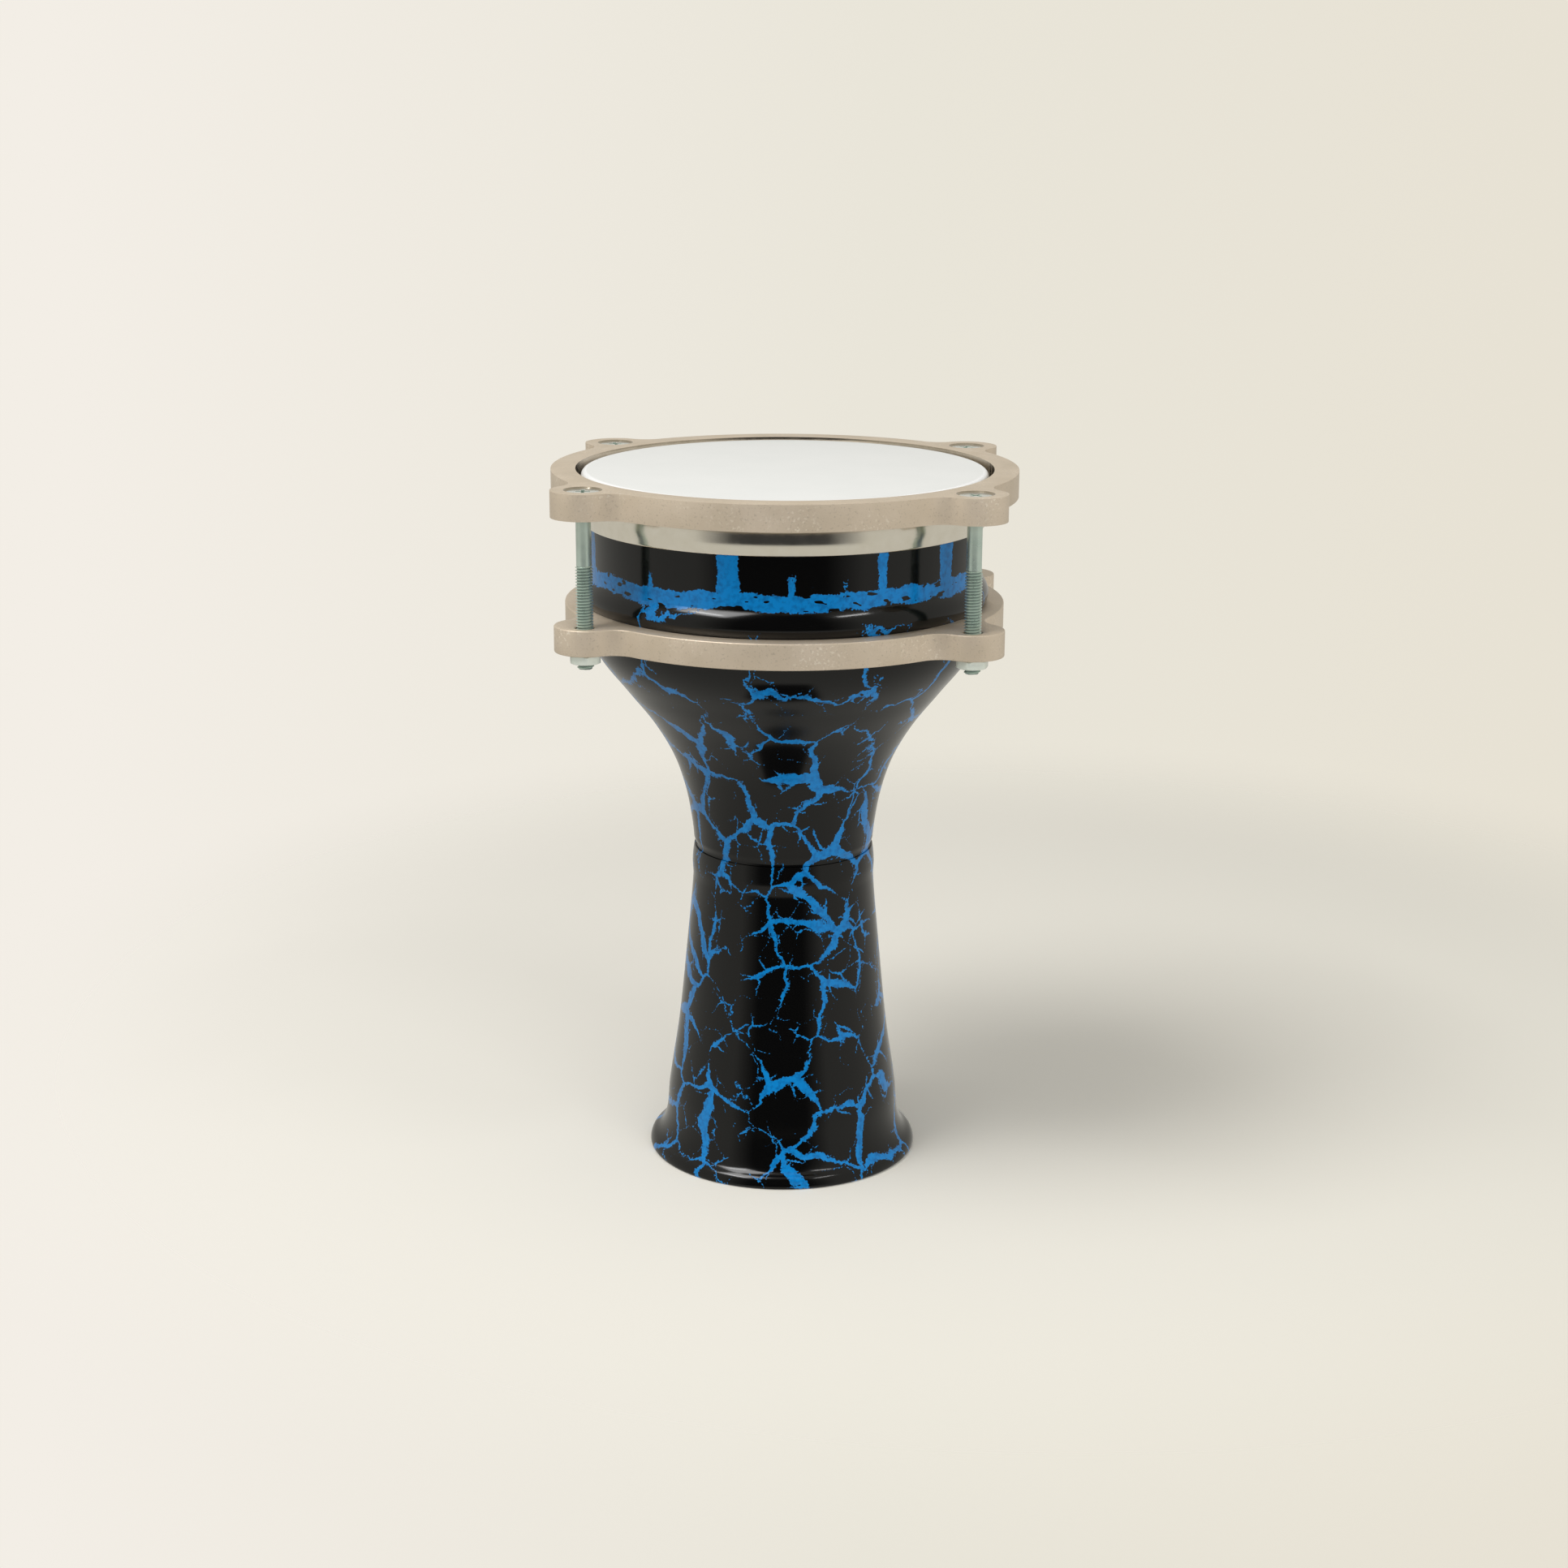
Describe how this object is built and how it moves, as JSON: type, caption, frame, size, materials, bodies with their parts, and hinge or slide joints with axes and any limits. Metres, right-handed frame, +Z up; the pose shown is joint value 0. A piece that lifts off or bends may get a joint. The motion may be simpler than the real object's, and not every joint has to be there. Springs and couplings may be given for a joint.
{
  "type": "goblet drum",
  "caption": "Small goblet hand drum: painted aluminium shell with a plastic head held by two lugged rings and countersunk tension screws with nuts.",
  "frame": {"origin": "on the floor under the middle of the foot, which is the bottom centre of the bounding box", "axes": "+Z up along the drum's axis; X runs across between the front screws, and -Y is the front"},
  "size_m": [0.1632, 0.1632, 0.2516],
  "materials": {
    "shell_paint": "gloss black crackle paint over blue on cast aluminium",
    "cast_ring": "satin cast, warm silver",
    "head_film": "satin white polyester film",
    "head_hoop": "polished",
    "lock_ring": "matt black nylon",
    "zinc_hardware": "blue-green zinc plate"
  },
  "bodies": {
    "shell": {"shell_bowl": "shell_paint", "shell_stem": "shell_paint", "counter_ring": "cast_ring", "tension_nut_front_left": "zinc_hardware", "tension_nut_front_right": "zinc_hardware", "tension_nut_back_right": "zinc_hardware", "tension_nut_back_left": "zinc_hardware"},
    "tension_ring": {"tension_ring": "cast_ring"},
    "drumhead": {"head_film": "head_film", "head_hoop": "head_hoop", "head_lock_ring": "lock_ring"},
    "tension_screw_front_left": {"tension_screw_front_left": "zinc_hardware"},
    "tension_screw_front_right": {"tension_screw_front_right": "zinc_hardware"},
    "tension_screw_back_right": {"tension_screw_back_right": "zinc_hardware"},
    "tension_screw_back_left": {"tension_screw_back_left": "zinc_hardware"}
  },
  "joints": [
    {"name": "ring_lift", "type": "slide", "parent": "shell", "child": "tension_ring", "axis": [0, 0, 1], "range_m": [0, 0.003]},
    {"name": "head_lift", "type": "slide", "parent": "shell", "child": "drumhead", "axis": [0, 0, 1], "range_m": [0, 0.003]},
    {"name": "tension_screw_front_left_turn", "type": "hinge", "parent": "tension_ring", "child": "tension_screw_front_left", "pos_m": [-0.0648, -0.055, 0.2511], "axis": [0, 0, 1], "range_deg": [0, 1080]},
    {"name": "tension_screw_front_right_turn", "type": "hinge", "parent": "tension_ring", "child": "tension_screw_front_right", "pos_m": [0.0648, -0.055, 0.2511], "axis": [0, 0, 1], "range_deg": [0, 1080]},
    {"name": "tension_screw_back_right_turn", "type": "hinge", "parent": "tension_ring", "child": "tension_screw_back_right", "pos_m": [0.0648, 0.055, 0.2511], "axis": [0, 0, 1], "range_deg": [0, 1080]},
    {"name": "tension_screw_back_left_turn", "type": "hinge", "parent": "tension_ring", "child": "tension_screw_back_left", "pos_m": [-0.0648, 0.055, 0.2511], "axis": [0, 0, 1], "range_deg": [0, 1080]}
  ],
  "couplings": [
    {"joint": "head_lift", "follows": "ring_lift", "ratio": 1},
    {"joint": "tension_screw_front_left_turn", "follows": "ring_lift", "rad_per_m": 6283.2},
    {"joint": "tension_screw_front_right_turn", "follows": "ring_lift", "rad_per_m": 6283.2},
    {"joint": "tension_screw_back_right_turn", "follows": "ring_lift", "rad_per_m": 6283.2},
    {"joint": "tension_screw_back_left_turn", "follows": "ring_lift", "rad_per_m": 6283.2}
  ]
}
